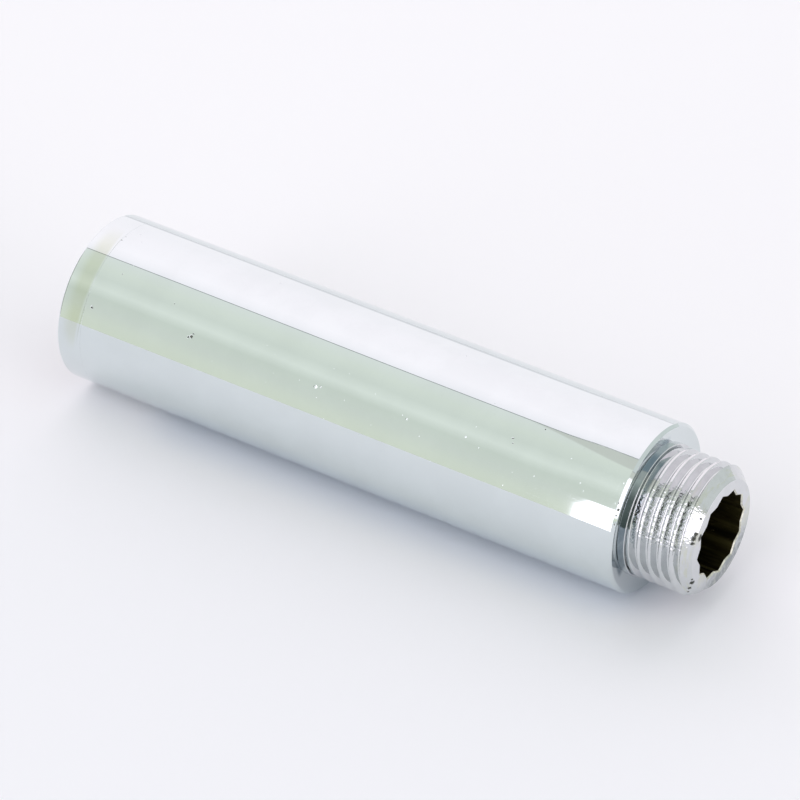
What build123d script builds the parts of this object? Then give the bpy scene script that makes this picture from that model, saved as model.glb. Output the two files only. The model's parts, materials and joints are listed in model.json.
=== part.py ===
from build123d import *
import os
from math import atan2, ceil, cos, degrees, radians, sin, tan

# Tap extension, male x female G 1/2, 100 mm body.
# The axis is +X, from the female end to the male end. The origin is the centre of the female end
# face, and +Z is up when the extension lies level. All sizes are in millimetres.

# Body
BODY_LENGTH = 100.0          # female end face to the shoulder of the male end
BODY_RADIUS = 13.5
TUBE_BORE_RADIUS = 11.75
FRONT_WALL = 5.0             # thickness of the barrel's closed front
SHOULDER_CHAMFER = 0.45
REAR_CHAMFER = 0.2
SEAM_X = 4.3                 # joint between the female socket's collar and the barrel
SEAM_CHAMFER = 0.1           # each side of that joint

# G 1/2 parallel pipe thread, 55 degree Whitworth form
PITCH = 25.4 / 14
MAJOR_RADIUS = 20.955 / 2
MINOR_RADIUS = 18.631 / 2
HALF_ANGLE = radians(27.5)
TIP_FLAT = PITCH / 6         # width of the form where crest and root are cut off
OVERCUT = 0.15               # how far the thread cut opens past the crests

# Male nipple
COLLAR_RADIUS = 10.55        # register that shows as a ring round the foot of the thread
COLLAR_PROUD = 0.6
COLLAR_CHAMFER = 0.12
RELIEF_WIDTH = 0.25
RELIEF_RADIUS = 9.8
CREST_RADIUS = 10.35         # crests of a class B thread are under the nominal size
MALE_LENGTH = 11.0           # shoulder to the male end face
END_FACE_RADIUS = 8.6
FLANGE_LENGTH = 4.0
CREST_AT_ZERO = 109.2        # where one thread crest stands at +Y
DRIVE_ACROSS_FLATS = 12.0    # 12-point socket for a hexagon key
DRIVE_DEPTH = 14.0
DRIVE_POINTS = 12
NIPPLE_BORE_RADIUS = 6.0

# Female socket
MOUTH_RADIUS = 10.65
MOUTH_CHAMFER = 0.35
MOUTH_DEPTH = 1.6
THREAD_END_X = 13.5
UNDERCUT_RADIUS = 10.7
SEAT_X = 16.0
SOCKET_LENGTH = 20.0
SOCKET_BORE_RADIUS = 7.0

# Sealing washer
WASHER_THICKNESS = 2.0
WASHER_OUTER_RADIUS = 9.2
WASHER_INNER_RADIUS = 6.8

MALE_END_X = BODY_LENGTH + MALE_LENGTH
WALL_INNER_X = BODY_LENGTH - FRONT_WALL


def turned(*outline):
    """A turned solid from its half section, as (x, radius) points."""
    return revolve(make_face(Polyline(*outline, close=True)), Axis.X)


def cut_thread(solid, tip_radius, open_radius, start_x, end_x):
    """Cut the helical space between threads: narrow at tip_radius and wider towards open_radius.

    It is cut one turn at a time. Each turn starts at +Y, the first of them at start_x, and the
    turns go on until they pass end_x.
    """
    depth = open_radius - tip_radius
    half_tip = TIP_FLAT / 2
    half_open = half_tip + abs(depth) * tan(HALF_ANGLE)
    outline = Polyline((0, -half_tip), (depth, -half_open), (depth, half_open), (0, half_tip), close=True)
    for turn in range(ceil((end_x - start_x) / PITCH)):
        turn_x = start_x + turn * PITCH
        path = Helix(PITCH, PITCH, tip_radius, center=(turn_x, 0, 0), direction=(1, 0, 0))
        start = path @ 0
        section = Plane(origin=start, x_dir=(0, start.Y, start.Z), z_dir=path % 0) * make_face(outline)
        to_plus_y = Rot(X=-degrees(atan2(start.Z, start.Y)))
        solid -= to_plus_y * sweep(section, path=path, is_frenet=True)
    return solid


def drive_socket():
    """The 12-point space for the key: two hexagons turned 30 degrees apart."""
    tip_radius = DRIVE_ACROSS_FLATS / 2 / cos(radians(30))
    notch_radius = DRIVE_ACROSS_FLATS / 2 / cos(radians(15))
    step = radians(180 / DRIVE_POINTS)
    corners = []
    for i in range(2 * DRIVE_POINTS):
        r = notch_radius if i % 2 else tip_radius
        corners.append((r * cos(i * step), r * sin(i * step)))
    profile = Plane.YZ.offset(MALE_END_X - DRIVE_DEPTH) * make_face(Polyline(*corners, close=True))
    return extrude(profile, amount=DRIVE_DEPTH)


def make_barrel():
    """Polished tube with an in-turned front wall that holds the male nipple."""
    return turned(
        (SEAM_X, TUBE_BORE_RADIUS),
        (SEAM_X, BODY_RADIUS - SEAM_CHAMFER),
        (SEAM_X + SEAM_CHAMFER, BODY_RADIUS),
        (BODY_LENGTH - SHOULDER_CHAMFER, BODY_RADIUS),
        (BODY_LENGTH, BODY_RADIUS - SHOULDER_CHAMFER),
        (BODY_LENGTH, COLLAR_RADIUS),
        (WALL_INNER_X, COLLAR_RADIUS),
        (WALL_INNER_X, TUBE_BORE_RADIUS),
    )


def make_male_nipple():
    """Flanged nipple pushed through the front wall from inside, with thread and key socket."""
    collar_x = BODY_LENGTH + COLLAR_PROUD
    thread_x = collar_x + RELIEF_WIDTH
    chamfer_x = MALE_END_X - (CREST_RADIUS - END_FACE_RADIUS)
    thread = turned(
        (thread_x, 0),
        (thread_x, CREST_RADIUS),
        (chamfer_x, CREST_RADIUS),
        (MALE_END_X, END_FACE_RADIUS),
        (MALE_END_X, 0),
    )
    first_groove_x = CREST_AT_ZERO + PITCH / 2 - ceil((CREST_AT_ZERO - thread_x) / PITCH + 1) * PITCH
    thread = cut_thread(thread, MINOR_RADIUS, CREST_RADIUS + OVERCUT, first_groove_x, MALE_END_X + PITCH / 2)
    foot = turned(
        (WALL_INNER_X - FLANGE_LENGTH, 0),
        (WALL_INNER_X - FLANGE_LENGTH, TUBE_BORE_RADIUS),
        (WALL_INNER_X, TUBE_BORE_RADIUS),
        (WALL_INNER_X, COLLAR_RADIUS),
        (collar_x - COLLAR_CHAMFER, COLLAR_RADIUS),
        (collar_x, COLLAR_RADIUS - COLLAR_CHAMFER),
        (collar_x, RELIEF_RADIUS),
        (thread_x, RELIEF_RADIUS),
        (thread_x, 0),
    )
    bore = turned(
        (WALL_INNER_X - FLANGE_LENGTH, 0),
        (WALL_INNER_X - FLANGE_LENGTH, NIPPLE_BORE_RADIUS),
        (MALE_END_X - DRIVE_DEPTH, NIPPLE_BORE_RADIUS),
        (MALE_END_X - DRIVE_DEPTH, 0),
    )
    return foot + thread - bore - drive_socket()


def make_female_socket():
    """Threaded socket whose collar closes the rear of the tube, with the washer seat inside."""
    lead_in_x = MOUTH_DEPTH + MOUTH_RADIUS - MINOR_RADIUS
    blank = turned(
        (0, MOUTH_RADIUS + MOUTH_CHAMFER),
        (0, BODY_RADIUS - REAR_CHAMFER),
        (REAR_CHAMFER, BODY_RADIUS),
        (SEAM_X - SEAM_CHAMFER, BODY_RADIUS),
        (SEAM_X, BODY_RADIUS - SEAM_CHAMFER),
        (SEAM_X, TUBE_BORE_RADIUS),
        (SOCKET_LENGTH, TUBE_BORE_RADIUS),
        (SOCKET_LENGTH, SOCKET_BORE_RADIUS),
        (SEAT_X, SOCKET_BORE_RADIUS),
        (SEAT_X, UNDERCUT_RADIUS),
        (THREAD_END_X, UNDERCUT_RADIUS),
        (THREAD_END_X, MINOR_RADIUS),
        (lead_in_x, MINOR_RADIUS),
        (MOUTH_DEPTH, MOUTH_RADIUS),
        (MOUTH_CHAMFER, MOUTH_RADIUS),
    )
    # the thread starts in the open mouth and ends in the undercut, so both ends run out
    last_groove_x = (THREAD_END_X + SEAT_X) / 2
    return cut_thread(blank, MAJOR_RADIUS, MINOR_RADIUS - OVERCUT, MOUTH_DEPTH - PITCH, last_groove_x)


def make_sealing_washer():
    """Flat ring that lies on the socket's seat."""
    return turned(
        (SEAT_X - WASHER_THICKNESS, WASHER_INNER_RADIUS),
        (SEAT_X - WASHER_THICKNESS, WASHER_OUTER_RADIUS),
        (SEAT_X, WASHER_OUTER_RADIUS),
        (SEAT_X, WASHER_INNER_RADIUS),
    )


PIECES = {
    "barrel": make_barrel,
    "male_nipple": make_male_nipple,
    "female_socket": make_female_socket,
    "sealing_washer": make_sealing_washer,
}

os.makedirs("parts", exist_ok=True)
for node, make in PIECES.items():
    export_step(make(), f"parts/{node}.step")
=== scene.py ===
import json
from math import atan2, cos, pi, radians, sin, tan

import bpy
import numpy as np
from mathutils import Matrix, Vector


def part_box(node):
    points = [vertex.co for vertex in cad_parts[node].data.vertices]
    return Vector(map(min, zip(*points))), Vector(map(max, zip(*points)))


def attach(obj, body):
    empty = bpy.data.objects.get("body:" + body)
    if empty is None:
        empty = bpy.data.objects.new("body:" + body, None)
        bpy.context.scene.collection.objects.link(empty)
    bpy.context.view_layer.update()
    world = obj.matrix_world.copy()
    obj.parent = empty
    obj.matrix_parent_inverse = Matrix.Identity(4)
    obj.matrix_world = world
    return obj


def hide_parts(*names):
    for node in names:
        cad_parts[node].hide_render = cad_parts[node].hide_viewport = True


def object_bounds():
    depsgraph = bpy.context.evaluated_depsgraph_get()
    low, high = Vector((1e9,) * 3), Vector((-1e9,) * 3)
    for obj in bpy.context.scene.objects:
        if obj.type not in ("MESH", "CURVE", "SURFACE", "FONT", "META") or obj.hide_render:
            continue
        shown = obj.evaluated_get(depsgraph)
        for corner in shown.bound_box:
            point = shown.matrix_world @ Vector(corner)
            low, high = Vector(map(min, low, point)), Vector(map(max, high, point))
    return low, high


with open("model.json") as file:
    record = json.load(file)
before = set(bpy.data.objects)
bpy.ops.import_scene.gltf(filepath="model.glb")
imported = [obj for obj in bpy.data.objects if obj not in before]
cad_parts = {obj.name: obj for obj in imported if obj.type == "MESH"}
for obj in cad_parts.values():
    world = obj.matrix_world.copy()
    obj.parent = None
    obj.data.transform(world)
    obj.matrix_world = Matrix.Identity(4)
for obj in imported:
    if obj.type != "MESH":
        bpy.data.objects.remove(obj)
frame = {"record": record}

# A chrome-plated tap extension, G 1/2 male x female, on a pale studio floor.
# The axis is X, from the female end to the male end. Lengths are in millimetres until a mesh is made.

MM = 0.001
CAD_LOW, CAD_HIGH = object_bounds()


def box_mm(node):
    """Lowest and highest corner of a CAD node, in millimetres."""
    low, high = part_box(node)
    return low / MM, high / MM


def mount(name):
    """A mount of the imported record, by name."""
    return next(m for m in frame["record"]["mounts"] if m["name"] == name)


def mount_x(name):
    """How far along the axis a mount is, in millimetres."""
    return mount(name)["pos_m"][0] / MM


# ---- sizes that come from the frame ----

BARREL_LOW, BARREL_HIGH = box_mm("barrel")
NIPPLE_HIGH = box_mm("male_nipple")[1]
SOCKET_HIGH = box_mm("female_socket")[1]
WASHER_LOW, WASHER_HIGH = box_mm("sealing_washer")

BODY_RADIUS = BARREL_HIGH.z
SEAM_X = BARREL_LOW.x
SHOULDER_X = mount_x("male_shoulder")
MALE_END_X = mount_x("male_end_face")
TUBE_BORE_RADIUS = NIPPLE_HIGH.z
MALE_CREST_RADIUS = mount("male_thread")["dims"]["r_mm"]
FEMALE_CREST_RADIUS = mount("female_thread")["dims"]["r_mm"]
MOUTH_RADIUS = mount("female_mouth")["dims"]["r_mm"]
DRIVE_TIP_RADIUS = mount("drive_socket")["dims"]["r_mm"]
DRIVE_DEPTH = mount("drive_socket")["dims"]["length_mm"]

# ---- sizes that the frame doesn't name ----

PITCH = 25.4 / 14                 # G 1/2: 14 threads per inch
MAJOR_RADIUS = 20.955 / 2
MINOR_RADIUS = 18.631 / 2
HALF_ANGLE = radians(27.5)        # Whitworth flanks

FRONT_WALL = 5.0
FLANGE_LENGTH = 4.0
SHOULDER_CHAMFER = 0.45
COLLAR_RADIUS = 10.55
COLLAR_PROUD = 0.6
RELIEF_WIDTH = 0.25
RELIEF_RADIUS = 9.8
END_FACE_RADIUS = 8.6
CREST_AT_ZERO = 109.2             # where one male crest stands at +Y
NIPPLE_BORE_RADIUS = 6.0
DRIVE_POINTS = 12

MOUTH_CHAMFER = 0.35
MOUTH_DEPTH = 1.6
THREAD_END_X = 13.5
UNDERCUT_RADIUS = 10.7
SOCKET_BORE_RADIUS = 7.0
WASHER_INNER_RADIUS = 6.8

# ---- edges, as machining and polishing leave them ----

POLISHED_EDGE = 0.08
MACHINED_EDGE = 0.05
SEAM_EDGE = 0.025
COLLAR_EDGE = 0.12
REAR_EDGE = 0.3
INNER_EDGE = 0.2
WASHER_EDGE = 0.15
FACE_MARGIN = 0.1                 # round part of the male end face outside the key socket's bevel
CREST_EDGE = 0.15
ROOT_FILLET = 0.24

COLUMNS = 192                     # points round the axis; a multiple of twice the key socket's points
ANGLES = np.arange(COLUMNS) * 2 * pi / COLUMNS
ROUND = np.stack([0 * ANGLES, np.cos(ANGLES), np.sin(ANGLES)], 1)
AXIAL = np.array([1.0, 0.0, 0.0])
ARC_STEPS = 5
FLANK_STEPS = 8
FLANK_AT_LEAST = 0.3              # a longer drop of the thread form is a flank
SAME_PLACE = 1e-5                 # points closer than this are one point
ON_CONE = 1e-6                    # further past the cone than this is cut off


# ---- meshes: rings of points round the axis, skinned with exact normals ----

class Skin:
    """A closed surface made ring by ring, with its own normal at each face corner."""

    def __init__(self):
        self.points, self.faces, self.normals, self.slots = [], [], [], []

    def ring(self, x, r, before=None):
        """Adds one point per column and returns their numbers, using points of the ring before again."""
        x, r = (np.broadcast_to(value, COLUMNS)[:, None] for value in (x, r))
        places = AXIAL * x + ROUND * r
        numbers = []
        for column, place in enumerate(places):
            shared = before is not None and np.abs(self.points[before[column]] - place).max() < SAME_PLACE
            if not shared:
                self.points.append(place)
            numbers.append(before[column] if shared else len(self.points) - 1)
        return numbers

    def face(self, corners, normals, slot=0):
        """Adds a face, leaving out corners that repeat the one before. Without normals it is flat."""
        kept = [i for i in range(4) if corners[i] != corners[i - 1]]
        if len(kept) < 3:
            return
        corners = [corners[i] for i in kept]
        if normals is None:
            first, second, third = (self.points[corner] for corner in corners[:3])
            flat = np.cross(second - first, third - first)
            normals = [flat / np.linalg.norm(flat)] * len(kept)
        else:
            normals = [normals[i] for i in kept]
        self.faces.append(corners)
        self.normals.extend(normals)
        self.slots.append(slot)

    def band(self, first, second, first_normals=None, second_normals=None, slot=0):
        """Skins the space between two rings."""
        for column in range(COLUMNS):
            beside = (column + 1) % COLUMNS
            corners = (first[column], first[beside], second[beside], second[column])
            normals = None
            if first_normals is not None:
                normals = (
                    first_normals[column],
                    first_normals[beside],
                    second_normals[beside],
                    second_normals[column],
                )
            self.face(corners, normals, slot)

    def turned(self, stations, before=None, slot=0):
        """Skins rings at stations of (x, r, normal x, normal r), and returns the last ring."""
        ring = before
        for number, (x, r, normal_x, normal_r) in enumerate(stations):
            following = self.ring(x, r, ring)
            normals = normal_x * AXIAL + normal_r * ROUND
            if ring is not None:
                start_normals = normals if number == 0 else last_normals
                self.band(ring, following, start_normals, normals, slot)
            ring, last_normals = following, normals
        return ring

    def build(self, name, materials):
        """The Blender object, in metres."""
        mesh = bpy.data.meshes.new(name)
        mesh.from_pydata([Vector(p) * MM for p in self.points], [], self.faces)
        for material in materials:
            mesh.materials.append(material)
        mesh.polygons.foreach_set("material_index", self.slots)
        mesh.shade_smooth()
        mesh.normals_split_custom_set([tuple(n) for n in self.normals])
        mesh.validate()
        piece = bpy.data.objects.new(name, mesh)
        bpy.context.scene.collection.objects.link(piece)
        return piece


def stations_along(outline, closed=False):
    """Stations along an outline of (x, r, edge radius), which has the metal on its right.

    Each corner becomes an arc of its edge radius. A corner with no radius gives two stations at one
    place, one with each side's normal.
    """
    stations = []
    count = len(outline)
    for i, (x, r, radius) in enumerate(outline):
        here = np.array([x, r])
        into = here - np.array(outline[i - 1][:2])
        out = np.array(outline[(i + 1) % count][:2]) - here
        into, out = into / np.linalg.norm(into), out / np.linalg.norm(out)
        if not closed and i == 0:
            stations.append((x, r, -out[1], out[0]))
            continue
        if not closed and i == count - 1:
            stations.append((x, r, -into[1], into[0]))
            continue
        turn = atan2(into[0] * out[1] - into[1] * out[0], into @ out)
        if radius == 0:
            stations += [(x, r, -into[1], into[0]), (x, r, -out[1], out[0])]
            continue
        start = here - into * radius * abs(tan(turn / 2))
        for step in range(ARC_STEPS + 1):
            angle = turn * step / ARC_STEPS
            chord = 2 * radius * abs(sin(angle / 2))
            along = np.array([cos(angle / 2), sin(angle / 2)])
            place = start + chord * (into * along[0] + np.array([-into[1], into[0]]) * along[1])
            heading = into * cos(angle) + np.array([-into[1], into[0]]) * sin(angle)
            stations.append((place[0], place[1], -heading[1], heading[0]))
    return stations


def turned_piece(name, outline, materials):
    """A closed turned piece from its outline of (x, r, edge radius)."""
    skin = Skin()
    stations = stations_along(outline, closed=True)
    x, r, normal_x, normal_r = stations[0]
    first = skin.ring(x, r)
    last = skin.turned(stations, first)
    normals = stations[-1][2] * AXIAL + stations[-1][3] * ROUND
    skin.band(last, first, normals, normals)
    return skin.build(name, materials)


# ---- threads ----

def thread_form(crest_radius, root_radius, crest_edge, root_edge):
    """One pitch of the thread from crest to crest: (distance from the crest, r, normal x, normal r)."""
    outward = 1 if crest_radius > root_radius else -1
    pitch_radius = (MAJOR_RADIUS + MINOR_RADIUS) / 2
    crest_half = PITCH / 4 - abs(crest_radius - pitch_radius) * tan(HALF_ANGLE)
    root_half = PITCH / 4 + abs(pitch_radius - root_radius) * tan(HALF_ANGLE)
    outline = [
        (0, crest_radius, 0),
        (crest_half, crest_radius, crest_edge),
        (root_half, root_radius, root_edge),
        (PITCH / 2, root_radius, 0),
    ]
    half = []
    for station in stations_along(outline):
        long_run = half and abs(station[1] - half[-1][1]) > FLANK_AT_LEAST
        if long_run:
            before = half[-1]
            for step in range(1, FLANK_STEPS):
                part = step / FLANK_STEPS
                half.append(tuple(np.array(before) * (1 - part) + np.array(station) * part))
        half.append(station)
    other = [(PITCH - x, r, -normal_x, normal_r) for x, r, normal_x, normal_r in reversed(half[1:-1])]
    form = np.array(half + other)
    if outward < 0:
        form[:, 2:] *= -1
    return form


def on_form(form, distance):
    """Radius and normal of the thread form at a distance from its crest."""
    distance = np.mod(distance, PITCH)
    places = np.append(form[:, 0], PITCH)
    return [np.interp(distance, places, np.append(form[:, i], form[0, i])) for i in (1, 2, 3)]


class Thread:
    """A helical thread as a grid of points: rows follow the helix, and columns go along the axis.

    The grid is cut off square at x_low and x_high, and by a cone whose radius is cone(x). A thread on
    the outside stays below the cone, and a thread in a bore stays above it.
    """

    def __init__(self, form, crest_x, x_low, x_high, cone, cone_normal, outside):
        self.form, self.outside = form, outside
        self.per_turn = len(form)
        turns_low = int(np.floor((x_low - crest_x) / PITCH)) - 2
        turns_high = int(np.ceil((x_high - crest_x) / PITCH)) + 2
        helix = crest_x + PITCH * ANGLES / (2 * pi)
        turns = range(turns_low, turns_high)
        rows = [helix + turn * PITCH + station[0] for turn in turns for station in form]
        self.x = np.clip(np.array(rows), x_low, x_high)
        self.r, normal_x, normal_r = on_form(form, self.x - helix)
        self.thread_normals = self.spread(normal_x, normal_r)
        self.cone_normals = cone_normal[0] * AXIAL + cone_normal[1] * ROUND
        self.cut_to(cone)

    def spread(self, normal_x, normal_r):
        """Normals as vectors, tilted a little by the helix."""
        lead = PITCH / (2 * pi * self.r)
        around = np.stack([0 * ANGLES, -np.sin(ANGLES), np.cos(ANGLES)], 1)
        vectors = (
            normal_x[..., None] * AXIAL
            + normal_r[..., None] * ROUND
            - (normal_x * lead)[..., None] * around
        )
        return vectors / np.linalg.norm(vectors, axis=2, keepdims=True)

    def cut_to(self, cone):
        """Cuts the grid off at the cone, moving the nearest point of each column onto the cut's edge."""
        side = 1 if self.outside else -1
        over = side * (self.r - cone(self.x))
        for column in range(COLUMNS):
            for row in range(len(over) - 1):
                first, second = over[row, column], over[row + 1, column]
                if first * second >= 0:
                    continue
                part = first / (first - second)
                moved = row if part < 0.5 else row + 1
                for grid in (self.x, self.r):
                    start, end = grid[row, column], grid[row + 1, column]
                    grid[moved, column] = start + part * (end - start)
                over[moved, column] = 0
        self.over = over
        self.r = np.where(over > 0, cone(self.x), self.r)

    def skin(self, skin, before, before_radius, backwards=False, slot=0):
        """Adds the thread to a skin after the ring before, and returns its last ring."""
        order = range(len(self.x))
        if backwards:
            order = order[::-1]
        rings, ring = {}, None
        for row in order:
            ring = skin.ring(self.x[row], self.r[row], ring)
            rings[row] = ring
        first, last = rings[order[0]], rings[order[-1]]
        sides = np.sign(before_radius - self.r[order[0]])[:, None] * AXIAL
        skin.band(before, first, sides, sides, slot)
        top = len(self.x) - 1
        for row, following in zip(order, order[1:]):
            for column in range(COLUMNS):
                # past the last column, the first column's points are one turn of the helix further on
                wrap = column == COLUMNS - 1
                beside = 0 if wrap else column + 1
                shift = self.per_turn if wrap else 0
                cells = [
                    (row, column),
                    (min(row + shift, top), beside),
                    (min(following + shift, top), beside),
                    (following, column),
                ]
                cut = sum(self.over[cell] for cell in cells) > ON_CONE
                if cut:
                    normals = [self.cone_normals[cell[1]] for cell in cells]
                else:
                    normals = [self.thread_normals[cell] for cell in cells]
                skin.face([rings[cell[0]][cell[1]] for cell in cells], normals, slot)
        return last


def star_radius():
    """Radius of the 12-point socket's outline at each column."""
    per_point = COLUMNS // DRIVE_POINTS
    half = pi / DRIVE_POINTS
    flat = DRIVE_TIP_RADIUS * cos(radians(30))
    notch = flat / cos(half)
    tip_place = np.array([DRIVE_TIP_RADIUS, 0])
    notch_place = notch * np.array([cos(half), sin(half)])
    radii = []
    for column in range(COLUMNS):
        step = column % per_point
        angle = min(step, per_point - step) * 2 * pi / COLUMNS
        along = notch_place - tip_place
        normal = np.array([along[1], -along[0]])
        radii.append(tip_place @ normal / (np.array([cos(angle), sin(angle)]) @ normal))
    return np.array(radii)


# ---- nodes ----

class Nodes:
    """Adds shader nodes to a tree, with their inputs given by name or number."""

    def __init__(self, tree):
        self.tree = tree

    def add(self, kind, inputs=None, output=0, **settings):
        """Adds a node and returns the output of that number. An input is a value or an output."""
        node = self.tree.nodes.new("ShaderNode" + kind)
        for key, value in settings.items():
            setattr(node, key, value)
        for key, value in (inputs or {}).items():
            if isinstance(value, bpy.types.NodeSocket):
                self.tree.links.new(value, node.inputs[key])
            else:
                node.inputs[key].default_value = value
        return None if output is None else node.outputs[output]

    def math(self, operation, *values):
        """A Math node of one or two values."""
        return self.add("Math", dict(enumerate(values)), operation=operation)

    def product(self, first, *others):
        """Values multiplied together."""
        for value in others:
            first = self.math("MULTIPLY", first, value)
        return first

    def vector(self, operation, *values, output=0):
        """A Vector Math node. Output 1 is its single value."""
        return self.add("VectorMath", dict(enumerate(values)), output, operation=operation)

    def smooth(self, value, low, high, to_low=0.0, to_high=1.0):
        """value from low to high, as a smooth step from to_low to to_high."""
        inputs = {0: value, 1: low, 2: high, 3: to_low, 4: to_high}
        return self.add("MapRange", inputs, interpolation_type="SMOOTHSTEP")

    def between(self, value, start, full, fade, end):
        """1 from full to fade, and 0 up to start and from end."""
        return self.product(self.smooth(value, start, full), self.smooth(value, fade, end, 1.0, 0.0))

    def coordinates(self, place):
        """The x, y and z of a place or a direction."""
        node = self.tree.nodes.new("ShaderNodeSeparateXYZ")
        self.tree.links.new(place, node.inputs[0])
        return node.outputs

    def mix(self, factor, first, second, blend="MIX"):
        """Mixes two colours. Each is another node's output or (red, green, blue)."""
        inputs = {0: factor}
        for number, colour in ((6, first), (7, second)):
            inputs[number] = colour if isinstance(colour, bpy.types.NodeSocket) else (*colour, 1)
        return self.add("Mix", inputs, 2, data_type="RGBA", blend_type=blend)

    def ramp(self, factor, stops):
        """A colour ramp from stops of (place, colour)."""
        node = self.tree.nodes.new("ShaderNodeValToRGB")
        self.tree.links.new(factor, node.inputs[0])
        elements = node.color_ramp.elements
        while len(elements) < len(stops):
            elements.new(1.0)
        for element, (place, colour) in zip(elements, stops):
            element.position = place
            element.color = (*colour, 1.0)
        return node.outputs[0]

    def noise(self, place, scale, detail=2.0, roughness=0.5, distortion=0.0):
        """A noise texture's value, from 0 to 1."""
        inputs = {
            "Vector": place,
            "Scale": scale,
            "Detail": detail,
            "Roughness": roughness,
            "Distortion": distortion,
        }
        return self.add("TexNoise", inputs)

    def stretched(self, place, scale, turn=(0.0, 0.0, 0.0)):
        """The place, turned and scaled, for textures that are longer one way than another."""
        return self.add("Mapping", {"Vector": place, "Rotation": turn, "Scale": scale})


def new_material(name, metallic=0.0):
    """A new node material, its Nodes helper and its Principled shader."""
    material = bpy.data.materials.new(name)
    material.use_nodes = True
    shader = next(n for n in material.node_tree.nodes if n.type == "BSDF_PRINCIPLED")
    shader.inputs["Metallic"].default_value = metallic
    return material, Nodes(material.node_tree), shader


def place_in_mm(nodes):
    """The place on the object in millimetres, in the object's own frame."""
    place = nodes.add("TexCoord", output=3)
    return nodes.vector("MULTIPLY", place, (1 / MM,) * 3)


def link(nodes, output, shader, name):
    """Links an output to one of the shader's inputs."""
    nodes.tree.links.new(output, shader.inputs[name])


def bump(nodes, shader, height, depth, strength=1.0):
    """Gives the shader a bump, where a height of 1 is depth millimetres."""
    inputs = {"Strength": strength, "Distance": depth * MM, "Height": height}
    link(nodes, nodes.add("Bump", inputs), shader, "Normal")


# ---- materials ----

def scratches(nodes, place, scale, turn, low, high):
    """Fine hairlines: 1 on a scratch and 0 elsewhere."""
    stretched = nodes.stretched(place, scale, turn)
    return nodes.smooth(nodes.noise(stretched, 1.0, 3.0, 0.6, 0.3), low, high)


def dimples(nodes, place, per_mm, share, size):
    """Scattered round dimples: 1 in a dimple. share is how many cells have one, and size is in cells."""
    cell = nodes.tree.nodes.new("ShaderNodeTexVoronoi")
    nodes.tree.links.new(place, cell.inputs["Vector"])
    cell.inputs["Scale"].default_value = per_mm
    chosen = nodes.math("LESS_THAN", nodes.add("SeparateColor", {0: cell.outputs["Color"]}), share)
    hole = nodes.smooth(cell.outputs["Distance"], size * 0.3, size, 1.0, 0.0)
    return nodes.product(chosen, hole)


def around(x, r, angle):
    """The point at x and radius r, at an angle in degrees from +Y towards +Z."""
    return (x, r * cos(radians(angle)), r * sin(radians(angle)))


def across_axis(nodes, place):
    """The place without its x: the way from the axis to it."""
    return nodes.vector("MULTIPLY", place, (0, 1, 1))


def facing(nodes, place, angle):
    """How far the surface at a place faces an angle round the axis: the cosine of the difference."""
    direction = nodes.vector("NORMALIZE", across_axis(nodes, place))
    return nodes.vector("DOT_PRODUCT", direction, around(0, 1, angle), output=1)


def marks_at(nodes, place, marks, ragged):
    """Single marks of (x, r, angle, radius), with ragged edges: 1 on a mark and 0 elsewhere."""
    noise = nodes.add("TexNoise", {"Vector": place, "Scale": 4.0}, 1)
    shake = nodes.vector("SUBTRACT", noise, (0.5,) * 3)
    place = nodes.vector("ADD", place, nodes.vector("MULTIPLY", shake, (ragged,) * 3))
    total = 0.0
    for x, r, angle, radius in marks:
        distance = nodes.vector("DISTANCE", place, around(x, r, angle), output=1)
        total = nodes.math("MAXIMUM", total, nodes.smooth(distance, radius * 0.5, radius, 1.0, 0.0))
    return total


def on_barrel(x, angle, radius):
    """A mark of some radius on the outside of the barrel or on its shoulder chamfer."""
    past_chamfer = max(0.0, x - (SHOULDER_X - SHOULDER_CHAMFER))
    return (x, BODY_RADIUS - past_chamfer, angle, radius)


# Marks in the plate that can be seen: (x, angle, radius of the mark).
PITS = [
    (23.7, 143, 0.30),
    (23.2, 144, 0.20),
    (23.9, 141, 0.16),
    (5.5, 149, 0.26),
    (4.4, 97, 0.12),
    (4.5, 93, 0.10),
    (8.2, 121, 0.10),
    (99.8, 147, 0.24),
    (99.75, 151, 0.16),
    (99.8, 157, 0.16),
    (99.6, 143, 0.12),
    (80.0, 129, 0.17),
    (80.3, 132, 0.13),
    (84.0, 116, 0.13),
    (18.8, 127, 0.12),
]
CHIPS = [
    (46.5, 144, 0.30),
    (47.4, 143, 0.18),
    (62.7, 142, 0.18),
    (72.8, 139, 0.16),
    (65.4, 83, 0.20),
    (31.5, 81, 0.16),
    (6.2, 86, 0.22),
    (7.4, 92, 0.16),
]

# Colours of the plate, of what shows where it is stained or gone, and of the shade and reflection painted
# on it.
PLATE = (0.71, 0.765, 0.77)
PLATE_ROUGHNESS = 0.016
THREAD_PLATE = (0.69, 0.71, 0.72)
THREAD_ROUGHNESS = 0.03
PIT = (0.10, 0.11, 0.09)
SLATE_SHADE = (0.66, 0.71, 0.76)
DEEP_SLATE_SHADE = (0.27, 0.33, 0.38)
OLIVE_REFLECTION = (0.90, 0.90, 0.80)
OLIVE_SHADE_LINE = (0.86, 0.87, 0.82)
STAIN = (0.62, 0.64, 0.50)
LOW_END_FACE_SHADE = (0.29, 0.32, 0.33)
BURR = (0.06, 0.065, 0.055)
MICROMETRE = 0.001


def clouded(nodes, colour, clouds, low, high, share):
    """A colour that goes down to a share of itself with the clouds, between two of their values."""
    dimmed = tuple(c * share for c in colour)
    return nodes.mix(nodes.smooth(clouds, low, high), colour, dimmed)


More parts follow.
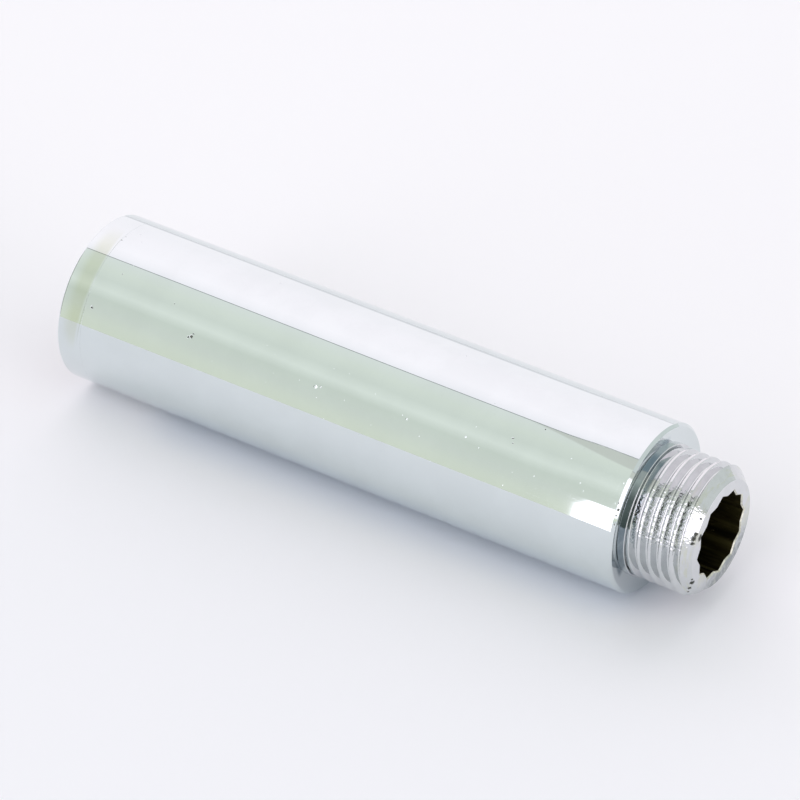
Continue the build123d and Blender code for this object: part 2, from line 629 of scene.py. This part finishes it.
def chrome(name, tone):
    """Polished chrome plate: faint waves, hairline scratches, dimples and a few pits.

    tone is a function that adds the piece's painted shade and painted reflection to the colour.
    """
    material, nodes, shader = new_material(name, 1.0)
    place = place_in_mm(nodes)

    clouds = nodes.noise(place, 0.12, 4.0, 0.6)
    tint = tone(nodes, place, clouded(nodes, PLATE, clouds, 0.35, 0.65, 0.97))
    pits = marks_at(nodes, place, [on_barrel(*pit) for pit in PITS], 0.45)
    link(nodes, nodes.mix(pits, tint, PIT), shader, "Base Color")

    lengthwise = scratches(nodes, place, (0.15, 9.0, 9.0), (0, 0, radians(4)), 0.62, 0.78)
    crosswise = scratches(nodes, place, (11.0, 0.35, 0.35), (0, 0, radians(-12)), 0.66, 0.80)
    marks = nodes.math("MAXIMUM", lengthwise, crosswise)
    chips = marks_at(nodes, place, [on_barrel(*chip) for chip in CHIPS], 0.3)
    rough = nodes.math("ADD", nodes.product(marks, 0.05), PLATE_ROUGHNESS)
    rough = nodes.math("ADD", rough, nodes.product(clouds, 0.01))
    rough = nodes.math("ADD", rough, nodes.product(nodes.math("MAXIMUM", chips, pits), 0.3))
    link(nodes, rough, shader, "Roughness")

    # heights in micrometres
    waves = nodes.noise(nodes.stretched(place, (0.02, 0.12, 0.12)), 1.0, 1.0)
    small = dimples(nodes, place, 1.1, 0.22, 0.12)
    height = nodes.math("SUBTRACT", nodes.product(waves, 6.0), nodes.product(marks, 0.10))
    height = nodes.math("SUBTRACT", height, nodes.product(small, 3.0))
    height = nodes.math("SUBTRACT", height, nodes.product(pits, 40.0))
    height = nodes.math("ADD", height, nodes.product(chips, 25.0))
    bump(nodes, shader, height, MICROMETRE)
    return material


def shoulder_painted_shade(nodes, place, tint):
    """Painted shade: slate-grey darkening in the corner where the shoulder meets the collar, on the near
    side, deeper towards the bottom.
    """
    x = nodes.coordinates(place)[0]
    r = nodes.vector("LENGTH", across_axis(nodes, place), output=1)
    # painted shade: the corner between shoulder and collar, on the side at 141 degrees round the axis
    corner = nodes.product(
        nodes.smooth(r, BODY_RADIUS - 1.9, BODY_RADIUS - 1.2, 1.0, 0.0),
        nodes.smooth(x, SHOULDER_X - 0.1, SHOULDER_X - 0.02),
        nodes.smooth(facing(nodes, place, 141), 0.34, 0.46),
    )
    patches = nodes.smooth(nodes.noise(place, 0.6, 3.0), 0.3, 0.7, 0.75, 1.0)
    # the painted shade is deeper towards the bottom, at 190 degrees round the axis
    below = nodes.smooth(facing(nodes, place, 190), 0.70, 0.90)
    slate = nodes.mix(1.0, tint, nodes.mix(below, SLATE_SHADE, DEEP_SLATE_SHADE), "MULTIPLY")
    return nodes.mix(nodes.product(corner, patches), tint, slate)


def rear_painted_reflection(nodes, place, tint):
    """Painted reflection: a faint olive tone on the near side of the rear end, with a bowed front edge
    near the joint and a painted darker line along that edge.
    """
    x = nodes.coordinates(place)[0]
    # the front edge is furthest forward at 125 degrees round the axis
    bow = nodes.product(facing(nodes, place, 125), 2.1)
    short = nodes.math("SUBTRACT", nodes.math("ADD", bow, SEAM_X + 0.15 - 2.1), x)
    near_side = facing(nodes, place, 136)
    patches = nodes.smooth(nodes.noise(place, 0.35, 3.0), 0.2, 0.7, 0.8, 1.1)
    band = nodes.product(
        nodes.smooth(x, 0.4, 2.6),
        nodes.smooth(short, 0.05, 0.7),
        nodes.smooth(near_side, 0.62, 0.92),
        patches,
    )
    # painted reflection: the olive band on the near side of the rear end
    tint = nodes.mix(band, tint, nodes.mix(1.0, tint, OLIVE_REFLECTION, "MULTIPLY"))
    # painted shade: a darker line along the band's front edge, by the joint
    line = nodes.product(nodes.between(short, -0.16, 0.0, 0.0, 0.2), nodes.smooth(near_side, 0.7, 0.9))
    return nodes.mix(line, tint, nodes.mix(1.0, tint, OLIVE_SHADE_LINE, "MULTIPLY"))


# Burrs and nicks round the male end: (distance behind its end face, r, angle, radius of the mark).
NICKS = [
    (0.7, 9.3, 214, 0.44),
    (0.2, 8.8, 206, 0.55),
    (0.1, 8.7, 200, 0.26),
    (1.1, 9.7, 221, 0.30),
    (0.0, 7.45, 150, 0.70),
    (0.0, 7.6, 147, 0.24),
    (0.2, 8.8, 147, 0.44),
    (0.3, 8.9, 151, 0.50),
    (0.3, 8.9, 156, 0.38),
    (0.3, 8.9, 131, 0.26),
    (1.4, 9.9, 238, 0.30),
]


def threaded_chrome(name):
    """Chrome plate over a cut thread, which shows the cutter's chatter and a few burrs, with painted
    shade low on the end face.
    """
    material, nodes, shader = new_material(name, 1.0)
    place = place_in_mm(nodes)
    x = nodes.coordinates(place)[0]

    clouds = nodes.noise(place, 0.5, 4.0, 0.6)
    tint = clouded(nodes, THREAD_PLATE, clouds, 0.3, 0.7, 0.93)
    stains = nodes.noise(nodes.stretched(place, (1.5, 0.25, 0.25)), 1.0, 4.0, 0.6)
    stained = nodes.product(
        nodes.smooth(stains, 0.5, 0.62),
        nodes.smooth(x, MALE_END_X - 2.2, MALE_END_X - 1.4),
        0.5,
    )
    tint = nodes.mix(stained, tint, STAIN)
    # painted shade: the end face is coloured darker and mottled towards 288 degrees round the axis, which
    # is nearly at its lowest
    off_axis = nodes.vector("DOT_PRODUCT", across_axis(nodes, place), around(0, 1, 288), output=1)
    worn = nodes.product(
        nodes.smooth(off_axis, 3.5, 7.5),
        nodes.smooth(x, MALE_END_X - 0.8, MALE_END_X),
        nodes.smooth(nodes.noise(place, 1.1, 3.0, 0.6), 0.35, 0.6, 0.4, 1.0),
    )
    tint = nodes.mix(worn, tint, LOW_END_FACE_SHADE)
    nicks = marks_at(nodes, place, [(MALE_END_X - nick[0], *nick[1:]) for nick in NICKS], 0.6)
    link(nodes, nodes.mix(nicks, tint, BURR), shader, "Base Color")

    # the cutter chattered on one side of the thread, which faces 147 degrees round the axis
    chatter = nodes.noise(nodes.stretched(place, (1.0, 2.3, 2.3)), 1.0, 1.0, 0.5)
    rough = nodes.product(nodes.smooth(chatter, 0.3, 0.8), 0.06)
    rough = nodes.math("ADD", nodes.math("ADD", rough, THREAD_ROUGHNESS), nodes.product(nicks, 0.3))
    link(nodes, rough, shader, "Roughness")

    # heights in micrometres
    depth = nodes.smooth(facing(nodes, place, 147), cos(radians(40)), cos(radians(15)), 6.0, 105.0)
    along = nodes.product(
        nodes.smooth(x, MALE_END_X - 1.9, MALE_END_X - 0.1, 1.0, 0.15),
        nodes.smooth(x, SHOULDER_X + 1.4, SHOULDER_X + 2.4),
    )
    height = nodes.math("ADD", nodes.product(chatter, along, depth), nodes.product(clouds, 3.0))
    height = nodes.math("SUBTRACT", height, nodes.product(nicks, 60.0))
    bump(nodes, shader, height, MICROMETRE)
    return material


def dark_brass():
    """Unplated brass inside the nipple, coloured near black as painted shade of the deep bore, with a few
    bright chips.
    """
    material, nodes, shader = new_material("dark_brass", 0.8)
    place = place_in_mm(nodes)
    streaks = nodes.noise(nodes.stretched(place, (0.10, 0.9, 0.9)), 1.0, 2.0, 0.5)
    # painted shade: the bore's colours are near black
    colour = nodes.ramp(streaks, [
        (0.35, (0.014, 0.011, 0.003)),
        (0.55, (0.050, 0.042, 0.012)),
        (0.72, (0.11, 0.095, 0.03)),
    ])
    swarf = nodes.smooth(nodes.noise(nodes.stretched(place, (1.0, 2.6, 2.6)), 1.0, 3.0, 0.7), 0.66, 0.74)
    link(nodes, nodes.mix(swarf, colour, (0.16, 0.14, 0.07)), shader, "Base Color")
    link(nodes, nodes.math("ADD", nodes.product(streaks, 0.3), 0.30), shader, "Roughness")
    bump(nodes, shader, streaks, 0.02, 0.5)
    return material


def worn_edge():
    """Bare, bright brass at the key socket's bevelled mouth, where the plate is thin or gone."""
    material, nodes, shader = new_material("worn_edge", 1.0)
    place = place_in_mm(nodes)
    patches = nodes.noise(place, 1.3, 4.0, 0.6)
    colour = nodes.ramp(patches, [
        (0.40, (0.50, 0.50, 0.42)),
        (0.60, (0.78, 0.77, 0.66)),
    ])
    link(nodes, colour, shader, "Base Color")
    link(nodes, nodes.math("ADD", nodes.product(patches, 0.3), 0.25), shader, "Roughness")
    bump(nodes, shader, nodes.noise(place, 5.0), 0.01, 0.6)
    return material


def machined_plate():
    """Thin, dull plate over turned brass, inside the female socket."""
    material, nodes, shader = new_material("machined_plate", 1.0)
    place = place_in_mm(nodes)
    patches = nodes.noise(place, 0.5, 5.0, 0.6)
    colour = nodes.ramp(patches, [
        (0.35, (0.34, 0.30, 0.20)),
        (0.50, (0.48, 0.45, 0.36)),
        (0.65, (0.55, 0.55, 0.52)),
    ])
    link(nodes, colour, shader, "Base Color")
    rings = nodes.noise(nodes.stretched(place, (14.0, 0.5, 0.5)), 1.0, 2.0)
    link(nodes, nodes.math("ADD", nodes.product(rings, 0.2), 0.18), shader, "Roughness")
    bump(nodes, shader, rings, 0.01, 0.5)
    return material


def rubber():
    """Matt black rubber with a fine moulded grain and a little dust."""
    material, nodes, shader = new_material("washer_rubber")
    place = place_in_mm(nodes)
    dust = nodes.noise(place, 1.4, 5.0, 0.7)
    colour = nodes.ramp(dust, [
        (0.40, (0.018, 0.018, 0.019)),
        (0.75, (0.07, 0.07, 0.068)),
    ])
    link(nodes, colour, shader, "Base Color")
    link(nodes, nodes.math("ADD", nodes.product(dust, 0.25), 0.6), shader, "Roughness")
    bump(nodes, shader, nodes.noise(place, 12.0, 3.0), 0.03, 0.4)
    return material


# ---- the four pieces ----

def make_barrel(material):
    """Polished tube with an in-turned front wall."""
    wall_x = SHOULDER_X - FRONT_WALL
    shoulder_r = BODY_RADIUS - SHOULDER_CHAMFER
    outline = [
        (SEAM_X, TUBE_BORE_RADIUS, INNER_EDGE),
        (SEAM_X, BODY_RADIUS, SEAM_EDGE),
        (SHOULDER_X - SHOULDER_CHAMFER, BODY_RADIUS, POLISHED_EDGE),
        (SHOULDER_X, shoulder_r, POLISHED_EDGE),
        (SHOULDER_X, COLLAR_RADIUS, 0),
        (wall_x, COLLAR_RADIUS, 0),
        (wall_x, TUBE_BORE_RADIUS, 0),
    ]
    piece = turned_piece("polished_barrel", outline, [material])
    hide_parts("barrel")
    return piece


def make_male_nipple(plate, brass, worn):
    """Threaded front piece: flange, collar, thread, end face, 12-point socket and bore."""
    plated, bare, edge = 0, 1, 2
    wall_x = SHOULDER_X - FRONT_WALL
    collar_x = SHOULDER_X + COLLAR_PROUD
    thread_x = collar_x + RELIEF_WIDTH
    flange_x = wall_x - FLANGE_LENGTH
    rear = [
        (flange_x, NIPPLE_BORE_RADIUS, 0),
        (flange_x, TUBE_BORE_RADIUS, INNER_EDGE),
        (wall_x, TUBE_BORE_RADIUS, 0),
        (wall_x, COLLAR_RADIUS, 0),
        (collar_x, COLLAR_RADIUS, COLLAR_EDGE),
        (collar_x, RELIEF_RADIUS, MACHINED_EDGE),
        (thread_x, RELIEF_RADIUS, 0),
    ]
    skin = Skin()
    first = skin.ring(flange_x, NIPPLE_BORE_RADIUS)
    ring = skin.turned(stations_along(rear), first, plated)

    # the end chamfer is at 45 degrees, and the end face's rounded edge takes this much off it
    edge_drop = MACHINED_EDGE * tan(radians(22.5)) * cos(radians(45))
    cone_end = MALE_END_X - edge_drop
    thread = Thread(
        thread_form(MALE_CREST_RADIUS, MINOR_RADIUS, CREST_EDGE, ROOT_FILLET),
        CREST_AT_ZERO,
        thread_x,
        cone_end,
        lambda x: END_FACE_RADIUS + MALE_END_X - x,
        (cos(radians(45)), sin(radians(45))),
        outside=True,
    )
    ring = thread.skin(skin, ring, RELIEF_RADIUS, slot=plated)

    mouth = star_radius()
    rim = mouth + INNER_EDGE
    # the first point only gives the chamfer's direction, and isn't skinned
    front = [
        (cone_end - 0.001, END_FACE_RADIUS + edge_drop, 0),
        (MALE_END_X, END_FACE_RADIUS, MACHINED_EDGE),
        (MALE_END_X, rim.max() + FACE_MARGIN, 0),
    ]
    ring = skin.turned(stations_along(front)[1:], ring, plated)
    facing = [AXIAL] * COLUMNS
    inner = skin.ring(MALE_END_X, rim)
    skin.band(ring, inner, facing, facing, plated)
    lip = skin.ring(MALE_END_X - INNER_EDGE, mouth)
    skin.band(inner, lip, None, None, edge)
    depth_x = MALE_END_X - DRIVE_DEPTH
    foot = skin.ring(depth_x, mouth)
    skin.band(lip, foot, None, None, bare)
    bore = skin.ring(depth_x, NIPPLE_BORE_RADIUS)
    skin.band(foot, bore, facing, facing, bare)
    skin.band(bore, first, -ROUND, -ROUND, bare)

    piece = skin.build("threaded_nipple", [plate, brass, worn])
    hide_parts("male_nipple")
    return piece


def make_female_socket(plate, inside):
    """Threaded rear piece, whose collar closes the tube."""
    outside, bore = 0, 1
    seat_x = WASHER_HIGH.x
    skin = Skin()
    shell = [
        (0, MOUTH_RADIUS + MOUTH_CHAMFER, 0),
        (0, BODY_RADIUS, REAR_EDGE),
        (SEAM_X, BODY_RADIUS, SEAM_EDGE),
        (SEAM_X, TUBE_BORE_RADIUS, 0),
        (SOCKET_HIGH.x, TUBE_BORE_RADIUS, INNER_EDGE),
        (SOCKET_HIGH.x, SOCKET_BORE_RADIUS, 0),
    ]
    first = skin.ring(0, MOUTH_RADIUS + MOUTH_CHAMFER)
    ring = skin.turned(stations_along(shell), first, outside)
    inner = [
        (SOCKET_HIGH.x, SOCKET_BORE_RADIUS, 0),
        (seat_x, SOCKET_BORE_RADIUS, MACHINED_EDGE),
        (seat_x, UNDERCUT_RADIUS, INNER_EDGE),
        (THREAD_END_X, UNDERCUT_RADIUS, 0),
    ]
    ring = skin.turned(stations_along(inner), ring, bore)
    thread = Thread(
        thread_form(FEMALE_CREST_RADIUS, MAJOR_RADIUS, CREST_EDGE / 2, ROOT_FILLET / 2),
        MOUTH_DEPTH - PITCH / 2,
        MOUTH_DEPTH,
        THREAD_END_X,
        lambda x: MOUTH_RADIUS + MOUTH_DEPTH - x,
        (-cos(radians(45)), -sin(radians(45))),
        outside=False,
    )
    ring = thread.skin(skin, ring, UNDERCUT_RADIUS, backwards=True, slot=bore)
    mouth = [
        (MOUTH_DEPTH, MOUTH_RADIUS, 0),
        (MOUTH_CHAMFER, MOUTH_RADIUS, MACHINED_EDGE),
        (0, MOUTH_RADIUS + MOUTH_CHAMFER, 0),
    ]
    stations = stations_along(mouth)
    ring = skin.turned(stations, ring, bore)
    normals = stations[-1][2] * AXIAL + stations[-1][3] * ROUND
    skin.band(ring, first, normals, normals, bore)

    piece = skin.build("threaded_socket", [plate, inside])
    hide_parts("female_socket")
    return piece


def make_washer(material):
    """Flat ring on the socket's seat."""
    outline = [
        (WASHER_LOW.x, WASHER_INNER_RADIUS, WASHER_EDGE),
        (WASHER_LOW.x, WASHER_HIGH.z, WASHER_EDGE),
        (WASHER_HIGH.x, WASHER_HIGH.z, WASHER_EDGE),
        (WASHER_HIGH.x, WASHER_INNER_RADIUS, WASHER_EDGE),
    ]
    piece = turned_piece("rubber_washer", outline, [material])
    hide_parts("sealing_washer")
    return piece


# ---- the studio ----

# The floor is a round sheet, which reaches less far in front of the object than behind it.
FLOOR_RADIUS = 270
FLOOR_SIDES = 128
FLOOR_CENTRE = (55.0, 100.0)
FLOOR_NEAR = (0.922, 0.936, 0.972)
FLOOR_FAR = (0.968, 0.970, 1.0)

# The contact shade lies under the barrel, round a line along the object: its ends and its place.
CONTACT_START = 22.0
CONTACT_END = 94.0
CONTACT_Y = -2.0
CONTACT_SHADE = (0.82, 0.86, 0.90)


def floor_paper():
    """Matt pale paper, with painted light that makes it paler towards the far side, and a soft painted
    shade where the object touches it.
    """
    material, nodes, shader = new_material("floor_paper")
    x, y, _ = nodes.coordinates(place_in_mm(nodes))
    # painted light: the paper grows paler towards the far side, as a fall-off of the light
    pale = nodes.mix(nodes.smooth(y, -60, 60), FLOOR_NEAR, FLOOR_FAR)
    before = nodes.math("SUBTRACT", CONTACT_START, x)
    after = nodes.math("SUBTRACT", x, CONTACT_END)
    past_end = nodes.math("MAXIMUM", nodes.math("MAXIMUM", before, after), 0.0)
    beside = nodes.math("SUBTRACT", y, CONTACT_Y)
    squares = nodes.math("ADD", nodes.product(past_end, past_end), nodes.product(beside, beside))
    close = nodes.smooth(nodes.math("SQRT", squares), 4.0, 14.0, 1.0, 0.0)
    shade = nodes.mix(close, (1, 1, 1), CONTACT_SHADE)
    link(nodes, nodes.mix(1.0, pale, shade, "MULTIPLY"), shader, "Base Color")
    shader.inputs["Roughness"].default_value = 0.9
    shader.inputs["Specular IOR Level"].default_value = 0.1
    return material


def make_floor():
    """Plain pale floor, level with the lowest part of the object."""
    rim = []
    for side in range(FLOOR_SIDES):
        angle = 2 * pi * side / FLOOR_SIDES
        x = FLOOR_CENTRE[0] + FLOOR_RADIUS * cos(angle)
        y = FLOOR_CENTRE[1] + FLOOR_RADIUS * sin(angle)
        rim.append((x * MM, y * MM, CAD_LOW.z))
    mesh = bpy.data.meshes.new("floor")
    mesh.from_pydata(rim, [], [list(range(FLOOR_SIDES))])
    mesh.materials.append(floor_paper())
    floor = bpy.data.objects.new("floor", mesh)
    bpy.context.scene.collection.objects.link(floor)


# The tent's colours by the direction round the axis, in degrees from +Y over the top to -Y. Its
# near side begins at TENT_EDGE, and the stops for that side are moved on by TENT_GAP.
TENT_EDGE = 86.2
TENT_GAP = 8.0
TENT = [
    (-170, (0.86, 0.85, 0.89)),
    (-2, (0.86, 0.85, 0.89)),
    (1, (1.18, 1.12, 1.17)),
    (40, (1.27, 1.18, 1.24)),
    (70, (1.31, 1.22, 1.28)),
    (78, (1.27, 1.19, 1.25)),
    (82, (1.23, 1.16, 1.22)),
    (88, (1.15, 1.10, 1.16)),
    (92, (0.92, 0.95, 0.92)),
    (112, (0.88, 0.925, 0.84)),
    (126, (0.83, 0.877, 0.803)),
    (140, (0.93, 0.975, 0.90)),
    (152, (0.78, 0.83, 0.75)),
    (168, (0.81, 0.85, 0.775)),
    (182, (0.85, 0.89, 0.78)),
    (198, (0.85, 0.89, 0.75)),
]
TENT_LOW, TENT_HIGH = -170.0, 198.0
TENT_PEAK = 1.4                    # the ramp holds colours up to 1, so they are scaled by this
EDGE_LINE = (0.34, 0.36, 0.36)

# What stands in the tent. A span is along x, where a direction's x runs from -1 at the rear to 1 in
# front: (starts, is full, fades, has ended). An aim is (towards, radius, soft edge), in degrees.
FAR_FRONT = (0.76, 0.80, 0.79)     # the far side, towards the front
FAR_STAND = (0.38, 0.46, 0.50)     # a stand in front, as it shows on the far side
NEAR_STAND = (0.20, 0.23, 0.21)    # and low on the near side
STAND_SPAN = (0.22, 0.36, 0.50, 0.60)
REAR_SHADE = (0.03, 0.035, 0.03)   # the tent's open rear
REAR_SPAN = (-0.93, -0.86, -0.72, -0.60)
FRAME_SHADE = (0.73, 0.745, 0.69)
WINDOW = (2.35, 2.22, 2.40)
WINDOW_START = -0.3953             # along x
WINDOW_ANGLES = (157.0, 167.0)     # its top edge, past its corner and at its corner
WINDOW_RISE = 42.0                 # how much higher its top edge is further on
LAMP_AIM = ((0.92, -0.29, 0.22), 15, 4)
PHOTOGRAPHER = (0.015, 0.015, 0.013)
PHOTOGRAPHER_AIM = ((0.60, -0.67, 0.42), 18, 6)
PLAIN_BACKDROP = (0.95, 0.945, 0.975)


def towards(nodes, direction, aim, radius, soft):
    """1 within a radius of the aim, in degrees, fading to 0 over the soft edge."""
    aim = Vector(aim).normalized()
    close = nodes.vector("DOT_PRODUCT", direction, tuple(aim), output=1)
    return nodes.smooth(close, cos(radians(radius + soft)), cos(radians(radius)))


def tent_colour(nodes, angle):
    """The tent's colour at an angle in degrees, with a thin dark line along its edge."""
    span = TENT_HIGH - TENT_LOW
    line = nodes.between(angle, TENT_EDGE - 0.1, TENT_EDGE + 0.15, TENT_EDGE + 0.75, TENT_EDGE + 1.0)
    gap = nodes.smooth(angle, TENT_EDGE - 0.05, TENT_EDGE + 0.15, 0.0, TENT_GAP)
    angle = nodes.math("ADD", angle, gap)
    place = nodes.math("DIVIDE", nodes.math("SUBTRACT", angle, TENT_LOW), span)
    stops = []
    for stop_angle, colour in TENT:
        stops.append(((stop_angle - TENT_LOW) / span, tuple(c / TENT_PEAK for c in colour)))
    colour = nodes.vector("SCALE", nodes.ramp(place, stops))
    colour.node.inputs["Scale"].default_value = TENT_PEAK
    return nodes.mix(line, colour, EDGE_LINE)


def window_mask(nodes, x, angle):
    """The bright opening in front: it starts at a straight edge, and its top edge sweeps up and over."""
    past_corner, at_corner = WINDOW_ANGLES
    corner = nodes.smooth(x, WINDOW_START, WINDOW_START + 0.0032, at_corner, past_corner)
    rise = nodes.smooth(x, WINDOW_START + 0.0081, WINDOW_START + 0.0153, 0.0, WINDOW_RISE)
    top = nodes.math("SUBTRACT", corner, rise)
    return nodes.product(
        nodes.smooth(nodes.math("SUBTRACT", angle, top), 0.0, 2.0),
        nodes.between(x, WINDOW_START, WINDOW_START + 0.0008, 0.0, 0.25),
        nodes.smooth(angle, 188.0, 190.0, 1.0, 0.0),
    )


def frame_mask(nodes, x, angle, bent):
    """The shaded wedge under the tent's edge, which widens towards the front."""
    depth = nodes.smooth(x, -0.412, -0.384, 89.5, 104.0)
    return nodes.product(
        nodes.smooth(nodes.math("SUBTRACT", depth, angle), 0.0, 2.0),
        nodes.smooth(bent, TENT_EDGE + 0.8, TENT_EDGE + 1.1),
        nodes.smooth(x, -0.430, -0.404),
    )


def tent_with_contents(nodes, direction):
    """The colour that arrives from a direction: the tent's, or that of what stands in it."""
    x, y, z = nodes.coordinates(direction)
    angle = nodes.product(nodes.math("ARCTAN2", z, y), 180 / pi)
    below = nodes.product(nodes.math("LESS_THAN", angle, TENT_LOW), 360.0)
    angle = nodes.math("ADD", angle, below)
    # the tent's edge bows a little along the object
    rise = nodes.smooth(x, -0.49, -0.42, 0.0, 2.0)
    fall = nodes.smooth(x, -0.402, -0.392, 0.0, 2.6)
    bent = nodes.math("SUBTRACT", angle, nodes.math("SUBTRACT", rise, fall))
    near = nodes.smooth(bent, TENT_EDGE - 0.6, TENT_EDGE + 0.2)
    far = nodes.math("SUBTRACT", 1.0, near)
    stand = nodes.between(x, *STAND_SPAN)
    photographer = towards(nodes, direction, *PHOTOGRAPHER_AIM)

    layers = [
        (nodes.product(far, nodes.smooth(x, -0.1, 0.35)), FAR_FRONT),
        (nodes.product(far, stand, nodes.smooth(angle, 35.0, 55.0)), FAR_STAND),
        (nodes.product(stand, nodes.smooth(angle, 90.0, 145.0)), NEAR_STAND),
        (nodes.product(near, nodes.between(x, *REAR_SPAN)), REAR_SHADE),
        (frame_mask(nodes, x, angle, bent), FRAME_SHADE),
        (window_mask(nodes, x, angle), WINDOW),
        (nodes.product(photographer, nodes.smooth(x, 0.44, 0.50)), PHOTOGRAPHER),
        (towards(nodes, direction, *LAMP_AIM), WINDOW),
    ]
    colour = tent_colour(nodes, bent)
    for mask, layer in layers:
        colour = nodes.mix(mask, colour, layer)
    return colour


def make_world():
    """A soft studio tent: white behind and above the object, pale grey-green in front of it.

    The tent is what the object mirrors and is lit by. Behind the object stands a plain backdrop.
    """
    world = bpy.data.worlds.new("studio")
    bpy.context.scene.world = world
    world.use_nodes = True
    world.node_tree.nodes.clear()
    nodes = Nodes(world.node_tree)
    tent = tent_with_contents(nodes, nodes.add("TexCoord", output=0))
    shown = nodes.mix(nodes.add("LightPath", output=0), tent, PLAIN_BACKDROP)
    background = nodes.add("Background", {"Color": shown, "Strength": 1.0})
    nodes.add("OutputWorld", {"Surface": background}, None)


# The camera looks at a point on the axis from the front, right and above.
CAMERA_AZIMUTH = radians(32.80)
CAMERA_ELEVATION = radians(37.035)
CAMERA_DISTANCE = 746.6
CAMERA_LENS = 219.77
CAMERA_SENSOR = 36.0
CAMERA_TARGET = (-2.15, 2.03, 0.0)  # from the middle of the object


def make_camera():
    """The camera, at its place on a sphere round the target, and plain colour management."""
    data = bpy.data.cameras.new("camera")
    data.sensor_width = CAMERA_SENSOR
    data.lens = CAMERA_LENS
    data.clip_start, data.clip_end = 0.01, 10.0
    camera = bpy.data.objects.new("camera", data)
    bpy.context.scene.collection.objects.link(camera)
    back = Vector((
        sin(CAMERA_AZIMUTH) * cos(CAMERA_ELEVATION),
        -cos(CAMERA_AZIMUTH) * cos(CAMERA_ELEVATION),
        sin(CAMERA_ELEVATION),
    ))
    target = (CAD_LOW + CAD_HIGH) / 2 + Vector(CAMERA_TARGET) * MM
    camera.location = target + back * CAMERA_DISTANCE * MM
    camera.rotation_euler = (-back).to_track_quat("-Z", "Y").to_euler()
    bpy.context.scene.camera = camera
    bpy.context.scene.view_settings.view_transform = "Standard"


make_camera()
make_world()
make_floor()

barrel_plate = chrome("polished_chrome", shoulder_painted_shade)
nipple_plate = threaded_chrome("nipple_chrome")
socket_plate = chrome("socket_chrome", rear_painted_reflection)
pieces = [
    make_barrel(barrel_plate),
    make_male_nipple(nipple_plate, dark_brass(), worn_edge()),
    make_female_socket(socket_plate, machined_plate()),
    make_washer(rubber()),
]
for piece in pieces:
    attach(piece, "root")
